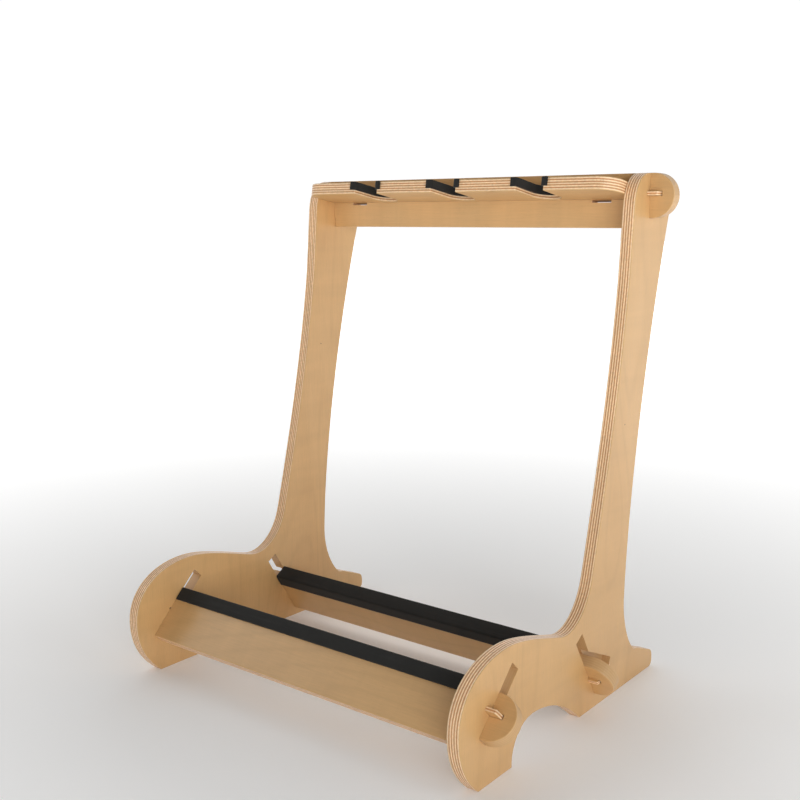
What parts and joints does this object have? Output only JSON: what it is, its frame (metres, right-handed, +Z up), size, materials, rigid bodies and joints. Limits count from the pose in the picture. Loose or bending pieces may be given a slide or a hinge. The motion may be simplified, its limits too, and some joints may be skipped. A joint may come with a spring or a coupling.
{
  "type": "guitar rack",
  "caption": "Free-standing knock-down plywood rack that holds guitars upright side by side on foam-edged rails, with a notched neck board.",
  "frame": {"origin": "on the floor, under the centre of the rack's bounding box", "axes": "+X across the rack to its right end as seen from the front, -Y towards the front, where the guitars go in, +Z up"},
  "size_m": [0.655, 0.508, 0.7225],
  "materials": {
    "birch_ply_panel": "satin clear-coated birch plywood, ply lines on the edges",
    "birch_ply_rail": "satin clear-coated birch plywood, ply lines on the edges",
    "birch_ply_neck_board": "satin clear-coated birch plywood, ply lines on the edges",
    "birch_ply_wedge": "thin birch plywood, ply lines on the edges",
    "black_foam": "matt black closed-cell foam"
  },
  "bodies": {
    "rack": {"side_panel_right": "birch_ply_panel", "side_panel_left": "birch_ply_panel", "front_rail": "birch_ply_rail", "rear_rail": "birch_ply_rail", "top_rail": "birch_ply_rail", "neck_board": "birch_ply_neck_board", "front_foam_strip": "black_foam", "rear_foam_strip": "black_foam", "neck_pad_left": "black_foam", "neck_pad_middle": "black_foam", "neck_pad_right": "black_foam"},
    "front_wedge_right_body": {"front_wedge_right": "birch_ply_wedge"},
    "front_wedge_left_body": {"front_wedge_left": "birch_ply_wedge"},
    "rear_wedge_right_body": {"rear_wedge_right": "birch_ply_wedge"},
    "rear_wedge_left_body": {"rear_wedge_left": "birch_ply_wedge"},
    "top_wedge_right_body": {"top_wedge_right": "birch_ply_wedge"},
    "top_wedge_left_body": {"top_wedge_left": "birch_ply_wedge"}
  },
  "joints": [
    {"name": "front_wedge_right_slide", "type": "slide", "parent": "rack", "child": "front_wedge_right_body", "axis": [0, 0.7071, -0.7071], "range_m": [0, 0.031]},
    {"name": "front_wedge_left_slide", "type": "slide", "parent": "rack", "child": "front_wedge_left_body", "axis": [0, 0.7071, -0.7071], "range_m": [0, 0.031]},
    {"name": "rear_wedge_right_slide", "type": "slide", "parent": "rack", "child": "rear_wedge_right_body", "axis": [0, 0.8462, 0.5329], "range_m": [0, 0.02]},
    {"name": "rear_wedge_left_slide", "type": "slide", "parent": "rack", "child": "rear_wedge_left_body", "axis": [0, 0.8462, 0.5329], "range_m": [0, 0.02]},
    {"name": "top_wedge_right_slide", "type": "slide", "parent": "rack", "child": "top_wedge_right_body", "axis": [0, 1, 0], "range_m": [0, 0.0255]},
    {"name": "top_wedge_left_slide", "type": "slide", "parent": "rack", "child": "top_wedge_left_body", "axis": [0, 1, 0], "range_m": [0, 0.0255]}
  ]
}
